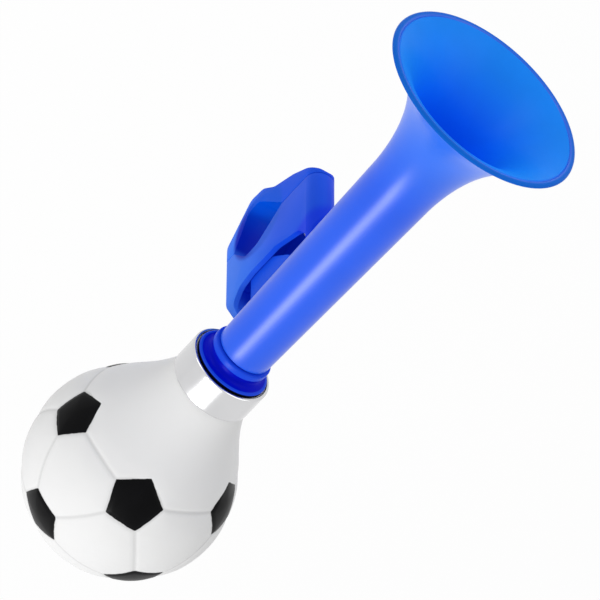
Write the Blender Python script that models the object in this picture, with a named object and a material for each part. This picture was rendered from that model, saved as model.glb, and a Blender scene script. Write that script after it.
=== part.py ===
"""Child's bicycle squeeze horn: football bulb, crimped ferrule, reed, trumpet and handlebar clamp.

Sizes are millimetres. The horn axis runs along +X towards the bell, the handlebar runs along Y, and
the origin is the centre of the handlebar opening in the clamp, below the horn tube.
"""
import math

import bmesh
import bpy
import numpy as np
from mathutils import Euler, Matrix, Vector

MM = 0.001

# Horn axis above the handlebar centre
AXIS_HEIGHT = 41.5

# Squeeze bulb
BULB_X = -70.5
BULB_DIAMETER = 63.5
BULB_WALL = 2.0
NECK_RADIUS = 12.3
NECK_LENGTH = 9.1
NECK_TANGENT_DEG = 56.0
NECK_ENTRY_DEG = 18.0
PANEL_SHARE = 0.286
PANEL_TURN_DEG = (-153.92, -35.07, 48.06)
SEAM_WIDTH = 0.8
SEAM_DEPTH = 0.35

# Collar that carries the reed and joins bulb and trumpet
COLLAR_FACE_X = -17.5
FLANGE_RADIUS = 12.0
FLANGE_THICKNESS = 1.6
GROOVE_RADIUS = 8.8
GROOVE_WIDTH = 3.0
RING_RADIUS = 9.6
RING_WIDTH = 2.2
SPIGOT_LENGTH = 13.0
PLUG_SEAT_RADIUS = 8.3
PLUG_SEAT_DEPTH = 7.0
AIRWAY_RADIUS = 5.5

# Chromed ferrule over the bulb's neck
FERRULE_LENGTH = 10.0
FERRULE_WALL = 0.5

# Reed
SHALLOT_RADIUS = 3.6
SHALLOT_WALL = 0.6
SHALLOT_LENGTH = 26.0
SHALLOT_FLAT = 1.5
TONGUE_WIDTH = 3.4
TONGUE_THICKNESS = 0.3
TONGUE_LENGTH = 17.0
TONGUE_ROOT = 3.5
TONGUE_SET = 0.45
WEDGE_LENGTH = 6.0

# Trumpet
TUBE_ROOT_RADIUS = 8.1
TUBE_END_RADIUS = 9.8
TUBE_LENGTH = 75.8
FLARE_LENGTH = 37.0
BELL_RADIUS = 30.75
HORN_WALL = 1.6
RIM_BEAD = 1.0
TAIL_RADIUS = 7.1
TAIL_LENGTH = 10.4
TAIL_BORE = 5.6

# Lug under the tube that the clamp is screwed to
LUG_X0 = -6.2
LUG_LENGTH = 20.2
LUG_THICKNESS = 5.2
LUG_DROP = 24.2

# Clamp
CLAMP_WIDTH = 9.0
CLAMP_X0 = -16.1
CLAMP_LENGTH = 44.1
CLAMP_WALL = 1.6
CLAMP_FLOOR = 2.5
BLOCK_FLOOR = 4.0
PART_Z = 2.9
OPENING_LEFT = -12.0
OPENING_RIGHT = 12.0
OPENING_TOP = 9.2
OPENING_BOTTOM = -8.9
CAP_RIDGE = 4.4
CLAMP_SCREW_X = 19.0
CLAMP_SCREW_RADIUS = 1.5
CLAMP_SCREW_LENGTH = 22.0
CLAMP_HEAD_RADIUS = 2.9
CLAMP_HEAD_HEIGHT = 2.2
CAP_SEAT_DEPTH = 3.2
WASHER_RADIUS = 3.3
WASHER_THICKNESS = 0.6
NUT_FLATS = 5.4
NUT_HEIGHT = 2.4
NUT_DROP = 7.0
LUG_SCREW_X = -2.6
LUG_SCREW_RADIUS = 1.3
LUG_SCREW_LENGTH = 16.0
LUG_HEAD_RADIUS = 2.8
LUG_HEAD_HEIGHT = 1.7
GUIDE_WIDTH = 4.2
GUIDE_THICKNESS = 1.5
GUIDE_LENGTH = 11.0

# Clearances
GAP = 0.3
FIT = 0.15
SLIDE = 0.35

TURN = 40
SMALL_TURN = 16


def clear_scene():
    for ob in list(bpy.data.objects):
        bpy.data.objects.remove(ob, do_unlink=True)


def material(name, colour, roughness, metallic=0.0):
    m = bpy.data.materials.new(name)
    m.use_nodes = True
    p = m.node_tree.nodes["Principled BSDF"]
    p.inputs["Base Color"].default_value = (*colour, 1.0)
    p.inputs["Roughness"].default_value = roughness
    p.inputs["Metallic"].default_value = metallic
    m.diffuse_color = (*colour, 1.0)
    return m


def make(name, bm, mat=None, location=(0, 0, 0), smooth=None, cutter=False):
    """Turns a bmesh in millimetres into an object placed at a location in millimetres."""
    bmesh.ops.recalc_face_normals(bm, faces=bm.faces[:])
    bmesh.ops.scale(bm, vec=(MM, MM, MM), verts=bm.verts[:])
    me = bpy.data.meshes.new(name)
    bm.to_mesh(me)
    bm.free()
    if smooth:
        me.shade_smooth()
        me.set_sharp_from_angle(angle=math.radians(smooth))
    if mat:
        me.materials.append(mat)
    ob = bpy.data.objects.new(name, me)
    ob.location = Vector(location) * MM
    bpy.context.scene.collection.objects.link(ob)
    if cutter:
        ob.hide_render = True
        ob.display_type = 'WIRE'
    return ob


def boolean(ob, other, operation):
    mod = ob.modifiers.new(operation.title(), 'BOOLEAN')
    mod.operation = operation
    mod.solver = 'EXACT'
    mod.object = other


def revolve(profile, steps=TURN, axis='X'):
    """Spins a closed profile of (along, radius) points about the X or the Z axis."""
    bm = bmesh.new()
    place = (lambda a, r: (a, 0, r)) if axis == 'X' else (lambda a, r: (r, 0, a))
    verts = [bm.verts.new(place(a, r)) for a, r in profile]
    edges = [bm.edges.new((verts[i], verts[(i + 1) % len(verts)])) for i in range(len(verts))
             if not (profile[i][1] < 1e-6 and profile[(i + 1) % len(verts)][1] < 1e-6)]
    direction = (1, 0, 0) if axis == 'X' else (0, 0, 1)
    bmesh.ops.spin(bm, geom=verts + edges, cent=(0, 0, 0), axis=direction, angle=2 * math.pi,
                   steps=steps, use_merge=True, use_duplicate=False)
    bmesh.ops.remove_doubles(bm, verts=bm.verts[:], dist=1e-5)
    return bm


def extrude(bm, points, step):
    """Adds a face through the points and draws it out by a step."""
    face = bm.faces.new([bm.verts.new(p) for p in points])
    out = bmesh.ops.extrude_face_region(bm, geom=[face])
    bmesh.ops.translate(bm, vec=step, verts=[v for v in out["geom"] if isinstance(v, bmesh.types.BMVert)])


def prism(outline, y0, y1):
    """Extrudes an (x, z) outline along Y."""
    bm = bmesh.new()
    extrude(bm, [(x, y0, z) for x, z in outline], (0, y1 - y0, 0))
    return bm


def plan_prism(outline, z0, z1):
    """Extrudes an (x, y) outline along Z."""
    bm = bmesh.new()
    extrude(bm, [(x, y, z0) for x, y in outline], (0, 0, z1 - z0))
    return bm


def fillet(corners, steps=4):
    """Rounds the corners of a closed outline. Each corner is (x, y) or (x, y, radius)."""
    out = []
    n = len(corners)
    for i, c in enumerate(corners):
        p = Vector(c[:2])
        radius = c[2] if len(c) > 2 else 0.0
        if not radius:
            out.append(tuple(p))
            continue
        a = (Vector(corners[i - 1][:2]) - p)
        b = (Vector(corners[(i + 1) % n][:2]) - p)
        reach = min(a.length, b.length) * 0.49
        a.normalize()
        b.normalize()
        half = math.acos(max(-1, min(1, a.dot(b)))) / 2
        cut = min(radius / math.tan(half), reach)
        radius = cut * math.tan(half)
        centre = p + (a + b).normalized() * (radius / math.sin(half))
        start = p + a * cut - centre
        end = p + b * cut - centre
        sweep = start.angle_signed(end)
        for k in range(steps + 1):
            t = -sweep * k / steps
            out.append((centre.x + start.x * math.cos(t) - start.y * math.sin(t),
                        centre.y + start.x * math.sin(t) + start.y * math.cos(t)))
    return out


def bezier(p0, p1, p2, p3, count):
    pts = []
    for i in range(count + 1):
        t = i / count
        w = ((1 - t) ** 3, 3 * (1 - t) ** 2 * t, 3 * (1 - t) * t * t, t ** 3)
        pts.append((sum(wi * p[0] for wi, p in zip(w, (p0, p1, p2, p3))),
                    sum(wi * p[1] for wi, p in zip(w, (p0, p1, p2, p3)))))
    return pts


def offset(points, distance):
    """Moves an open line of points sideways, to the right of its direction for a positive distance."""
    out = []
    for i, p in enumerate(points):
        a = points[max(i - 1, 0)]
        b = points[min(i + 1, len(points) - 1)]
        d = Vector((b[0] - a[0], b[1] - a[1])).normalized()
        out.append((p[0] + d.y * distance, p[1] - d.x * distance))
    return out


def cylinder(x, z0, z1, radius, steps=SMALL_TURN):
    bm = revolve([(z0, 0), (z0, radius), (z1, radius), (z1, 0)], steps, 'Z')
    bmesh.ops.translate(bm, vec=(x, 0, 0), verts=bm.verts[:])
    return bm


# Stations along the horn that several pieces share
R_BULB = BULB_DIAMETER / 2
FLANGE_BACK = COLLAR_FACE_X - FLANGE_THICKNESS
NECK_END = FLANGE_BACK - GAP
NECK_START = NECK_END - NECK_LENGTH
SPIGOT_RADIUS = NECK_RADIUS - BULB_WALL - GAP
FERRULE_INNER = NECK_RADIUS + GAP
FERRULE_OUTER = FERRULE_INNER + FERRULE_WALL
SPIGOT_BACK = FLANGE_BACK - SPIGOT_LENGTH
SOCKET_MOUTH = COLLAR_FACE_X + GROOVE_WIDTH + RING_WIDTH
TUBE_START = SOCKET_MOUTH + GAP
FLARE_START = TUBE_START + TUBE_LENGTH
BELL_X = FLARE_START + FLARE_LENGTH


def horn_outline(extra=0.0):
    """The trumpet's outer line from the collar to the rim, (along, radius)."""
    tube = [(TUBE_START + TUBE_LENGTH * t, TUBE_ROOT_RADIUS + (TUBE_END_RADIUS - TUBE_ROOT_RADIUS) * t)
            for t in (0.0, 0.2, 0.4, 0.6, 0.8)]
    flare = bezier((FLARE_START, TUBE_END_RADIUS), (FLARE_START + 21.0, TUBE_END_RADIUS + 1.1),
                   (BELL_X - 4.4, BELL_RADIUS - 10.5), (BELL_X, BELL_RADIUS), 14)
    return [(x, r + extra) for x, r in tube + flare]


def neck_line(shrink=0.0):
    """The bulb's outer line where it leaves the ball and runs into the ferrule."""
    a = math.radians(NECK_TANGENT_DEG)
    e = math.radians(NECK_ENTRY_DEG)
    p0 = (BULB_X + R_BULB * math.cos(a), R_BULB * math.sin(a))
    p3 = (NECK_START, NECK_RADIUS)
    reach = math.hypot(p3[0] - p0[0], p3[1] - p0[1]) * 0.36
    p1 = (p0[0] + reach * math.sin(a), p0[1] - reach * math.cos(a))
    p2 = (p3[0] - reach * math.cos(e), p3[1] + reach * math.sin(e))
    line = bezier(p0, p1, p2, p3, 8) + [(NECK_END, NECK_RADIUS)]
    return offset(line, shrink) if shrink else line


def panel_ball():
    """A ball of twelve five-sided and twenty six-sided panels with moulded seams between them.

    The panel corners lie on the edges of an icosahedron, a set share of the way in from its corners.
    """
    g = (1 + 5 ** 0.5) / 2
    ico = [Vector(v) for s in (1, -1) for t in (1, -1) for v in ((0, s, t * g), (s, t * g, 0), (t * g, 0, s))]
    turn = Euler([math.radians(d) for d in PANEL_TURN_DEG], 'XYZ').to_matrix()
    ico = [turn @ v.normalized() for v in ico]
    near = min((ico[0] - v).length for v in ico[1:]) * 1.05
    links = [[j for j, w in enumerate(ico) if j != i and (w - v).length < near] for i, v in enumerate(ico)]

    def corner(i, j):
        return ico[i].lerp(ico[j], PANEL_SHARE).normalized()

    panels = [[corner(i, j) for j in links[i]] for i in range(12)]
    for i in range(12):
        for j in links[i]:
            for k in links[i]:
                if i < j < k and k in links[j]:
                    panels.append([corner(a, b) for a, b in ((i, j), (j, i), (j, k), (k, j), (k, i), (i, k))])
    bm = bmesh.new()
    steps = 3
    for panel in panels:
        centre = sum(panel, Vector()).normalized()
        side = (panel[0] - centre * panel[0].dot(centre)).normalized()
        up = centre.cross(side)
        panel.sort(key=lambda p: math.atan2(p.dot(up), p.dot(side)))
        rim = []
        for a, b in zip(panel, panel[1:] + panel[:1]):
            first, last = (a, b) if tuple(a) < tuple(b) else (b, a)
            cells = [first.lerp(last, k / steps).normalized() for k in range(steps + 1)]
            if first is b:
                cells.reverse()
            rim += cells[:-1]
        rings = [[p * (R_BULB - SEAM_DEPTH) for p in rim]]
        width = SEAM_WIDTH / 2 / R_BULB
        for share in (1.0, 0.62, 0.3):
            ring = []
            for p in rim:
                angle = p.angle(centre)
                edge = max(0.05, (angle - width / math.cos(math.pi / len(panel))) / angle)
                inner = centre.slerp(p, edge * share)
                ring.append(inner.normalized() * R_BULB)
            rings.append(ring)
        rows = [[bm.verts.new(p) for p in ring] for ring in rings]
        middle = bm.verts.new(centre * R_BULB)
        count = len(rim)
        for outer, inner in zip(rows, rows[1:]):
            for k in range(count):
                bm.faces.new((outer[k], outer[(k + 1) % count], inner[(k + 1) % count], inner[k]))
        for k in range(count):
            bm.faces.new((rows[-1][k], rows[-1][(k + 1) % count], middle))
    bmesh.ops.remove_doubles(bm, verts=bm.verts[:], dist=1e-3)
    bmesh.ops.translate(bm, vec=(BULB_X, 0, 0), verts=bm.verts[:])
    return bm


def on_axis(name, bm, mat=None, smooth=40, cutter=False):
    return make(name, bm, mat, (0, 0, AXIS_HEIGHT), smooth, cutter)


def build_bulb(mat):
    ball = on_axis("ball_bulb", panel_ball(), mat, 30)
    line = neck_line()
    # The neck starts just under the ball's skin, so that the two skins cross cleanly
    x, r = line[0]
    start = [(x - 12.0, 0.0), (x - 12.0, r - 2.0), (x - 5.0, r + 0.6)]
    neck = on_axis("bulb_neck_shape", revolve(start + line[1:] + [(NECK_END, 0.0)]), cutter=True)
    a = math.radians(NECK_TANGENT_DEG)
    inner_r = R_BULB - BULB_WALL
    hollow = [(BULB_X + inner_r * math.cos(t), max(inner_r * math.sin(t), 0.0))
              for t in np.linspace(math.pi, a, 15)]
    hollow[0] = (hollow[0][0], 0.0)
    inside = neck_line(BULB_WALL)[1:]
    end = NECK_END + 3.0
    hollow = hollow + inside[:-1] + [(inside[-1][0], NECK_RADIUS - BULB_WALL), (end, NECK_RADIUS - BULB_WALL),
                                     (end, 0.0)]
    cavity = on_axis("bulb_cavity_shape", revolve([(float(x), float(r)) for x, r in hollow], 32), cutter=True)
    boolean(ball, neck, 'UNION')
    boolean(ball, cavity, 'DIFFERENCE')


def build_collar(mat):
    chamfer = 0.5
    groove_a = COLLAR_FACE_X + 0.6
    ring_a = SOCKET_MOUTH - RING_WIDTH
    bore = TAIL_RADIUS + GAP
    shoulder = SOCKET_MOUTH - TAIL_LENGTH - GAP
    seat = SPIGOT_BACK + PLUG_SEAT_DEPTH
    barb = 0.15
    profile = [
        (SPIGOT_BACK, PLUG_SEAT_RADIUS), (SPIGOT_BACK, SPIGOT_RADIUS - 0.6),
        (SPIGOT_BACK + 1.2, SPIGOT_RADIUS),
        (SPIGOT_BACK + 3.4, SPIGOT_RADIUS), (SPIGOT_BACK + 3.5, SPIGOT_RADIUS - barb),
        (SPIGOT_BACK + 6.5, SPIGOT_RADIUS), (SPIGOT_BACK + 6.6, SPIGOT_RADIUS - barb),
        (FLANGE_BACK, SPIGOT_RADIUS), (FLANGE_BACK, FLANGE_RADIUS - chamfer * 0.5),
        (FLANGE_BACK + chamfer * 0.5, FLANGE_RADIUS), (COLLAR_FACE_X - chamfer, FLANGE_RADIUS),
        (COLLAR_FACE_X - chamfer * 0.2, FLANGE_RADIUS - chamfer * 0.4),
        (COLLAR_FACE_X, FLANGE_RADIUS - chamfer),
        (COLLAR_FACE_X + 0.1, FLANGE_RADIUS - 1.5), (groove_a, GROOVE_RADIUS + 0.9),
        (groove_a + 0.6, GROOVE_RADIUS + 0.2), (groove_a + 1.2, GROOVE_RADIUS), (ring_a, GROOVE_RADIUS),
        (ring_a + 0.05, RING_RADIUS - 0.3), (ring_a + 0.4, RING_RADIUS), (SOCKET_MOUTH - 0.5, RING_RADIUS),
        (SOCKET_MOUTH, RING_RADIUS - 0.5), (SOCKET_MOUTH, bore), (shoulder, bore), (shoulder, AIRWAY_RADIUS),
        (seat, AIRWAY_RADIUS), (seat, PLUG_SEAT_RADIUS)]
    on_axis("reed_socket", revolve(profile), mat)


def build_ferrule(mat):
    front = FLANGE_BACK + 0.6
    back = front - FERRULE_LENGTH
    lip = 0.4
    profile = [
        (back, FERRULE_INNER), (back, FERRULE_OUTER - lip), (back + lip * 0.4, FERRULE_OUTER - lip * 0.2),
        (back + lip, FERRULE_OUTER), (front - lip, FERRULE_OUTER),
        (front - lip * 0.3, FERRULE_OUTER - lip * 0.2),
        (front, FERRULE_OUTER - lip), (front, FLANGE_RADIUS + GAP), (front - lip * 1.2, FLANGE_RADIUS + GAP),
        (front - lip * 1.6, FERRULE_INNER)]
    on_axis("ferrule", revolve(profile, 48), mat)


def build_reed(plug_mat, brass):
    seat_end = SPIGOT_BACK + PLUG_SEAT_DEPTH
    plug_front = seat_end - GAP
    plug_back = SPIGOT_BACK - 1.2
    bore = SHALLOT_RADIUS + FIT
    on_axis("reed_plug", revolve([
        (plug_back, bore), (plug_back, PLUG_SEAT_RADIUS + 0.9), (SPIGOT_BACK - GAP, PLUG_SEAT_RADIUS + 0.9),
        (SPIGOT_BACK - GAP, PLUG_SEAT_RADIUS - FIT), (plug_front, PLUG_SEAT_RADIUS - FIT - 0.3),
        (plug_front, bore)], 32), plug_mat)
    front = plug_front
    back = front - SHALLOT_LENGTH
    inner = SHALLOT_RADIUS - SHALLOT_WALL
    shallot = on_axis("reed_shallot", revolve([
        (back, 0), (back, SHALLOT_RADIUS - 1.0), (back + 0.3, SHALLOT_RADIUS - 0.3),
        (back + 1.0, SHALLOT_RADIUS),
        (front, SHALLOT_RADIUS), (front, inner), (back + 1.2, inner), (back + 1.2, 0)], 24), brass)
    # The flat that the tongue beats on runs from the closed end into the plug
    flat_end = plug_back + TONGUE_ROOT + 1.0
    flat = on_axis("shallot_flat_shape", prism([
        (back - 1, SHALLOT_FLAT), (flat_end, SHALLOT_FLAT), (flat_end, SHALLOT_RADIUS + 2),
        (back - 1, SHALLOT_RADIUS + 2)], -5, 5), cutter=True)
    # A web closes the flat's top, pierced by the slot that the air goes through
    web = on_axis("shallot_web_shape", prism([
        (back + 0.8, SHALLOT_FLAT - SHALLOT_WALL), (flat_end + 0.6, SHALLOT_FLAT - SHALLOT_WALL),
        (flat_end + 0.6, SHALLOT_FLAT), (back + 0.8, SHALLOT_FLAT)], -2.9, 2.9), cutter=True)
    slot_a = back + 2.5
    slot_b = slot_a + TONGUE_LENGTH - 6.0
    slot = on_axis("shallot_slot_shape", prism([
        (slot_a, 0), (slot_b, 0), (slot_b, SHALLOT_FLAT + 1), (slot_a, SHALLOT_FLAT + 1)], -0.9, 0.9),
        cutter=True)
    boolean(shallot, flat, 'DIFFERENCE')
    boolean(shallot, web, 'UNION')
    boolean(shallot, slot, 'DIFFERENCE')
    low = SHALLOT_FLAT + GAP * 0.8
    pivot_x = plug_back
    tip = -TONGUE_LENGTH
    upper = bezier((TONGUE_ROOT, 0), (0, 0), (tip * 0.4, 0), (tip, TONGUE_SET), 6)
    outline = [(x, z + TONGUE_THICKNESS) for x, z in upper] + [(x, z) for x, z in reversed(upper)]
    make("reed_tongue", prism(outline, -TONGUE_WIDTH / 2, TONGUE_WIDTH / 2), brass,
         (pivot_x, 0, AXIS_HEIGHT + low))
    wedge_low = low + TONGUE_THICKNESS + GAP * 0.6
    top = SHALLOT_RADIUS - 0.05
    half = math.sqrt(top ** 2 - wedge_low ** 2)
    arc = math.atan2(wedge_low, half)
    cross = [(top * math.cos(t), top * math.sin(t)) for t in np.linspace(arc, math.pi - arc, 7)]
    bm = bmesh.new()
    extrude(bm, [(pivot_x - 1.6, y, z) for y, z in cross], (WEDGE_LENGTH - 0.4, 0, 0))
    on_axis("reed_wedge", bm, brass, None)


def lug_outline(grow=0.0):
    """The lug's side outline, (x, z) from the handlebar's centre."""
    x0 = LUG_X0 - grow
    x1 = LUG_X0 + LUG_LENGTH + grow
    top = AXIS_HEIGHT - TUBE_ROOT_RADIUS + 3.0
    foot = AXIS_HEIGHT - LUG_DROP - grow
    return fillet([(x0, top), (x0, foot, 1.0), (x0 + LUG_LENGTH * 0.5, foot, 8.0),
                   (x1 - 0.3, foot + 8.0, 5.0), (x1, top)], 4)


def build_horn(mat):
    outer = horn_outline()
    bead = [(BELL_X + RIM_BEAD * math.sin(t), BELL_RADIUS - RIM_BEAD + RIM_BEAD * math.cos(t) + 0.25)
            for t in np.linspace(0.2, math.pi * 0.9, 6)]
    tail = [(SOCKET_MOUTH - TAIL_LENGTH, 0), (SOCKET_MOUTH - TAIL_LENGTH, TAIL_RADIUS - 0.5),
            (SOCKET_MOUTH - TAIL_LENGTH + 0.6, TAIL_RADIUS), (TUBE_START, TAIL_RADIUS)]
    solid = tail + outer + bead + [(bead[-1][0], 0)]
    horn = on_axis("horn_tube", revolve([(float(x), float(r)) for x, r in solid], 48), mat)
    inner = offset(outer, HORN_WALL)
    inner[-1] = (bead[-1][0] - 0.2, inner[-1][1])
    end = BELL_X + 4.0
    bore = [(SOCKET_MOUTH - TAIL_LENGTH - 2, 0), (SOCKET_MOUTH - TAIL_LENGTH - 2, TAIL_BORE),
            (TUBE_START + 1.5, TAIL_BORE), (TUBE_START + 3.0, TUBE_ROOT_RADIUS - HORN_WALL)]
    bore += [p for p in inner if p[0] > TUBE_START + 4.0]
    bore += [(end, inner[-1][1] + 3.0), (end, 0)]
    hollow = on_axis("horn_bore_shape", revolve([(float(x), float(r)) for x, r in bore], 48), cutter=True)
    lug = make("horn_lug_shape", prism(lug_outline(), -LUG_THICKNESS / 2, LUG_THICKNESS / 2), cutter=True)
    foot = AXIS_HEIGHT - LUG_DROP
    pilot = make("horn_pilot_shape", cylinder(LUG_SCREW_X, foot - 1, foot + 11.5, LUG_SCREW_RADIUS + FIT, 12),
                 cutter=True)
    boolean(horn, lug, 'UNION')
    boolean(horn, hollow, 'DIFFERENCE')
    boolean(horn, pilot, 'DIFFERENCE')


def opening_outline():
    """Half outlines of the handlebar opening: the base's shallow seat and the cap's deep V seat."""
    base = fillet([(OPENING_LEFT, PART_Z), (OPENING_LEFT + 5.5, OPENING_TOP, 3.0),
                   (OPENING_LEFT + 11.5, OPENING_TOP, 6.0), (OPENING_RIGHT, PART_Z)], 4)
    cap = fillet([(OPENING_LEFT, PART_Z), (OPENING_LEFT + 7.2, OPENING_BOTTOM, 3.0),
                  (OPENING_LEFT + 12.5, OPENING_BOTTOM, 3.5), (OPENING_RIGHT, PART_Z)], 4)
    return base, cap


def clamp_plan(grow=0.0):
    """Outline of the clamp seen along the screw: a rounded left end and a full round right end."""
    w = CLAMP_WIDTH / 2 + grow
    x0 = CLAMP_X0 - 1.2 - grow
    x1 = CLAMP_X0 + CLAMP_LENGTH + grow
    return fillet([(x0, -w, 2.2), (x1, -w, w - 0.3), (x1, w, w - 0.3), (x0, w, 2.2)], 6)


def build_clamp(mat, steel):
    base_seat, cap_seat = opening_outline()
    left = CLAMP_X0
    right = CLAMP_X0 + CLAMP_LENGTH
    foot = AXIS_HEIGHT - TUBE_ROOT_RADIUS + 0.6
    half = CLAMP_WIDTH / 2
    # The left toe clears the collar's ring
    toe = SOCKET_MOUTH + GAP + 2.0
    base_line = [(left, PART_Z)] + base_seat + [
        (right, PART_Z), (right, AXIS_HEIGHT - 20.0, 6.0), (right - 5.5, foot + 1.5, 3.0),
        (right - 8.5, foot + 1.5),
        (toe + 3.0, foot), (toe, foot, 1.5), (toe - 1.9, AXIS_HEIGHT - 11.0, 3.0),
        (left + 0.4, AXIS_HEIGHT - 19.0, 8.0)]
    bm = prism(fillet(base_line), -half, half)
    bmesh.ops.recalc_face_normals(bm, faces=bm.faces[:])
    base = make("clamp_base", bm, mat, smooth=35)
    plan = make("base_plan_shape", plan_prism(clamp_plan(), PART_Z - 5, AXIS_HEIGHT + 5), cutter=True)
    boolean(base, plan, 'INTERSECT')
    w = CLAMP_WALL
    seat_roof = [(x, z + CLAMP_FLOOR) for x, z in base_seat if PART_Z + 1.0 < z]
    inner = [(left + w, PART_Z + CLAMP_FLOOR), (OPENING_LEFT - 0.4, PART_Z + CLAMP_FLOOR)] + seat_roof + [
        (OPENING_RIGHT + 1.5, PART_Z + BLOCK_FLOOR), (right - w, PART_Z + BLOCK_FLOOR),
        (right - w, AXIS_HEIGHT - 20.0, 5.0), (right - 7.0, foot + 3.0), (toe + 2.4, foot + 3.0),
        (toe - 0.1, AXIS_HEIGHT - 11.5, 3.0), (left + 2.2, AXIS_HEIGHT - 19.0, 7.0)]
    hollow = make("base_hollow_shape", prism(fillet(inner), -half + w, half - w), cutter=True)
    boolean(base, hollow, 'DIFFERENCE')
    # The side faces end in a shallow arch, and the two ends run on as saddles to the tube
    a = AXIS_HEIGHT
    arch = fillet([
        (toe + 2.4, a - 4.0), (toe - 0.1, a - 11.5, 3.0), (left + 3.9, a - 17.0, 4.0),
        (left + 7.2, a - 21.6, 4.0),
        (left + 13.0, a - 23.0, 6.0), (left + 25.0, a - 22.8, 8.0), (right - 7.5, a - 18.8, 6.0),
        (right - 4.0, a - 13.5, 3.0), (right - 6.5, a - 4.0)], 3)
    arch_cut = make("base_arch_shape", prism(arch, -half - 2, half + 2), cutter=True)
    boolean(base, arch_cut, 'DIFFERENCE')
    # Screw boss over the nut, and the spacer that stands on the lug
    nut_low = PART_Z + NUT_DROP
    boss = make("base_boss_shape", cylinder(CLAMP_SCREW_X, PART_Z + 1.5, nut_low - GAP, 2.75, 20),
                cutter=True)
    boolean(base, boss, 'UNION')
    spacer_top = AXIS_HEIGHT - LUG_DROP - GAP
    spacer = make("base_spacer_shape", prism([
        (LUG_SCREW_X - 3.4, OPENING_TOP + 0.8), (LUG_SCREW_X + 3.4, OPENING_TOP + 0.8),
        (LUG_SCREW_X + 3.4, spacer_top), (LUG_SCREW_X - 3.4, spacer_top)], -half + w - 0.4, half - w + 0.4),
        cutter=True)
    boolean(base, spacer, 'UNION')
    screw_gap = CLAMP_SCREW_RADIUS + SLIDE
    hole = make("base_screw_hole_shape", cylinder(CLAMP_SCREW_X, PART_Z - 4, nut_low + 4, screw_gap),
                cutter=True)
    boolean(base, hole, 'DIFFERENCE')
    head_seat = OPENING_TOP + LUG_HEAD_HEIGHT + 0.9
    lug_hole = make("base_lug_hole_shape", revolve([
        (OPENING_TOP - 4, 0), (OPENING_TOP - 4, LUG_HEAD_RADIUS + GAP), (head_seat, LUG_HEAD_RADIUS + GAP),
        (head_seat, LUG_SCREW_RADIUS + GAP), (spacer_top + 3, LUG_SCREW_RADIUS + GAP), (spacer_top + 3, 0)],
        SMALL_TURN, 'Z'), location=(LUG_SCREW_X, 0, 0), cutter=True)
    boolean(base, lug_hole, 'DIFFERENCE')
    tube_cut = on_axis("base_saddle_shape", revolve(
        [(TUBE_START, 0)] + horn_outline(GAP)[:7] + [(horn_outline()[6][0], 0)], 48), cutter=True)
    boolean(base, tube_cut, 'DIFFERENCE')
    # Slot for the cap's guide tongue
    guide_x = left + w + SLIDE

    def guide_plan(grow):
        x0, x1, y = guide_x - grow, guide_x + GUIDE_THICKNESS + grow, GUIDE_WIDTH / 2 + grow
        return [(x0, -y), (x1, -y), (x1, y), (x0, y)]

    slot = make("base_guide_slot_shape", plan_prism(guide_plan(SLIDE), PART_Z - 3, PART_Z + CLAMP_FLOOR + 2),
                cutter=True)
    boolean(base, slot, 'DIFFERENCE')

    # Cap
    part = PART_Z - GAP
    ridge = OPENING_BOTTOM - CAP_RIDGE
    cap_line = [(left, part)] + [(x, min(z, part)) for x, z in cap_seat] + [
        (right, part), (right, part - 1.3, 1.5), (right - 10.5, -4.6, 8.0), (right - 20.0, -8.2, 6.0),
        (OPENING_LEFT + 14.4, ridge + 0.6, 4.0), (OPENING_LEFT + 8.2, ridge, 3.5),
        (left - 0.9, OPENING_TOP - 11.2, 3.0)]
    cap = make("clamp_cap", prism(fillet(cap_line), -half, half), mat, smooth=35)
    cap_plan = make("cap_plan_shape", plan_prism(clamp_plan(), ridge - 5, PART_Z + 5), cutter=True)
    boolean(cap, cap_plan, 'INTERSECT')
    guide = make("cap_guide_shape", plan_prism(guide_plan(0.0), part - 2, part + GUIDE_LENGTH), cutter=True)
    boolean(cap, guide, 'UNION')
    seat = part - CAP_SEAT_DEPTH
    bore = make("cap_screw_hole_shape", revolve([
        (part + 3, 0), (part + 3, screw_gap), (seat, screw_gap),
        (seat, WASHER_RADIUS + SLIDE), (seat - 12, WASHER_RADIUS + SLIDE), (seat - 12, 0)],
        20, 'Z'), location=(CLAMP_SCREW_X, 0, 0), cutter=True)
    boolean(cap, bore, 'DIFFERENCE')

    # Fasteners
    washer_top = seat - FIT
    washer = revolve([(washer_top, CLAMP_SCREW_RADIUS + FIT), (washer_top, WASHER_RADIUS),
                      (washer_top - WASHER_THICKNESS, WASHER_RADIUS),
                      (washer_top - WASHER_THICKNESS, CLAMP_SCREW_RADIUS + FIT)], 20, 'Z')
    make("clamp_washer", washer, steel, (CLAMP_SCREW_X, 0, 0), 30)
    head_top = washer_top - WASHER_THICKNESS - FIT
    r = CLAMP_HEAD_RADIUS
    h = CLAMP_HEAD_HEIGHT
    tip = head_top + CLAMP_SCREW_LENGTH
    screw = make("clamp_screw", revolve([
        (head_top - h, 0), (head_top - h, r * 0.62), (head_top - h * 0.8, r * 0.86), (head_top - h * 0.35, r),
        (head_top, r), (head_top, CLAMP_SCREW_RADIUS), (tip - 0.6, CLAMP_SCREW_RADIUS),
        (tip, CLAMP_SCREW_RADIUS - 0.5), (tip, 0)], 20, 'Z'), steel, (CLAMP_SCREW_X, 0, 0), 30)
    for turn, name in ((0, "screw_cross_a_shape"), (90, "screw_cross_b_shape")):
        blade = [(-1.5, -0.3), (1.5, -0.3), (1.5, 0.3), (-1.5, 0.3)]
        bm = plan_prism(blade, head_top - h - 1, head_top - h + 1.1)
        spin = Matrix.Rotation(math.radians(turn), 3, 'Z')
        bmesh.ops.rotate(bm, cent=(0, 0, 0), matrix=spin, verts=bm.verts[:])
        cross = make(name, bm, location=(CLAMP_SCREW_X, 0, 0), cutter=True)
        boolean(screw, cross, 'DIFFERENCE')
    nut = bmesh.new()
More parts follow.
